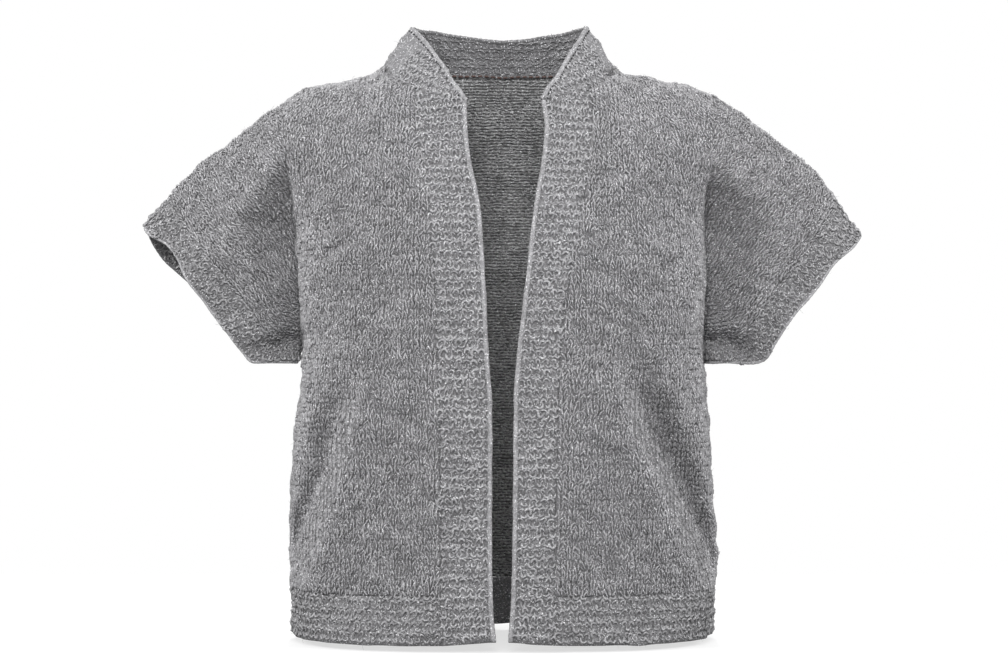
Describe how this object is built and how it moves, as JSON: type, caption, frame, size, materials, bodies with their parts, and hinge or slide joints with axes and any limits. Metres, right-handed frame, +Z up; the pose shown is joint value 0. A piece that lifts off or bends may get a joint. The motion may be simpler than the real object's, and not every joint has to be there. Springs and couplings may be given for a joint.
{
  "type": "cardigan",
  "caption": "Short hand-knitted open-front cardigan with a stand collar, knitted borders and wide short dolman sleeves, held in its hollow worn form.",
  "frame": {"origin": "middle of the neck opening at the height of the shoulders, where the wearer's shoulders carry the garment", "axes": "+Z up; -Y towards the front of the garment; +X towards the wearer's left"},
  "size_m": [0.7218, 0.245, 0.6099],
  "materials": {
    "plain_knit": "heather grey wool-blend yarn in plain knit, matt and hairy, with sparse bright metallic flecks",
    "border_knit": "the same yarn in knobbly garter and moss stitch, matt and hairy, with sparse bright metallic flecks"
  },
  "bodies": {
    "root": {"back": "plain_knit", "front_left": "plain_knit", "front_right": "plain_knit", "band_left": "border_knit", "band_right": "border_knit", "collar": "border_knit", "hem_left": "border_knit", "hem_right": "border_knit", "hem_back": "border_knit", "cuff_left": "border_knit", "cuff_right": "border_knit"}
  },
  "joints": []
}
